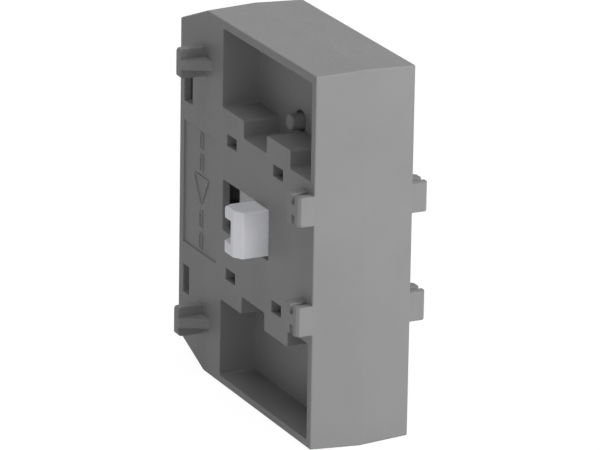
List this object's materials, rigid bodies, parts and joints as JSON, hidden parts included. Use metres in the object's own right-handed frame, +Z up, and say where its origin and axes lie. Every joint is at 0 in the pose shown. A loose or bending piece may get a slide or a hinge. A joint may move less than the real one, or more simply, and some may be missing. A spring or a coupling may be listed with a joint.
{
  "type": "mechanical interlock",
  "caption": "Flat grey plastic interlock unit with moulded hooks on both flanks and white fork sliders, joined by a balance lever so that only one of two contactors can close.",
  "frame": {"origin": "below the middle of the unit, on the lowest line of the parting ridge, at the centre of the bounding box's bottom", "axes": "+Z up, along the unit's longest side; X across its thickness, with the parting plane of the two shells at x = 0; +Y from the plain face towards the shouldered face with the T-shaped hooks"},
  "size_m": [0.0326, 0.06, 0.0723],
  "materials": {
    "housing": "fine spark-eroded grain, mid grey",
    "slider": "smooth satin, bluish white",
    "lever": "smooth satin, dark grey",
    "pin": "drawn and tumbled"
  },
  "bodies": {
    "housing": {"housing_left": "housing", "housing_right": "housing", "pivot_pin": "pin"},
    "slider_left": {"slider_left": "slider"},
    "slider_right": {"slider_right": "slider"},
    "lever": {"balance_lever": "lever"}
  },
  "joints": [
    {"name": "left_slide", "type": "slide", "parent": "housing", "child": "slider_left", "axis": [0, 1, 0], "range_m": [0, 0.009]},
    {"name": "right_slide", "type": "slide", "parent": "housing", "child": "slider_right", "axis": [0, 1, 0], "range_m": [-0.009, 0]},
    {"name": "lever_tilt", "type": "hinge", "parent": "housing", "child": "lever", "pos_m": [0, 0.01815, 0.03615], "axis": [-1, 0, 0], "range_deg": [0, 28.08]}
  ],
  "couplings": [
    {"joint": "right_slide", "follows": "left_slide", "ratio": -1},
    {"joint": "lever_tilt", "follows": "left_slide", "rad_per_m": 54.44}
  ]
}
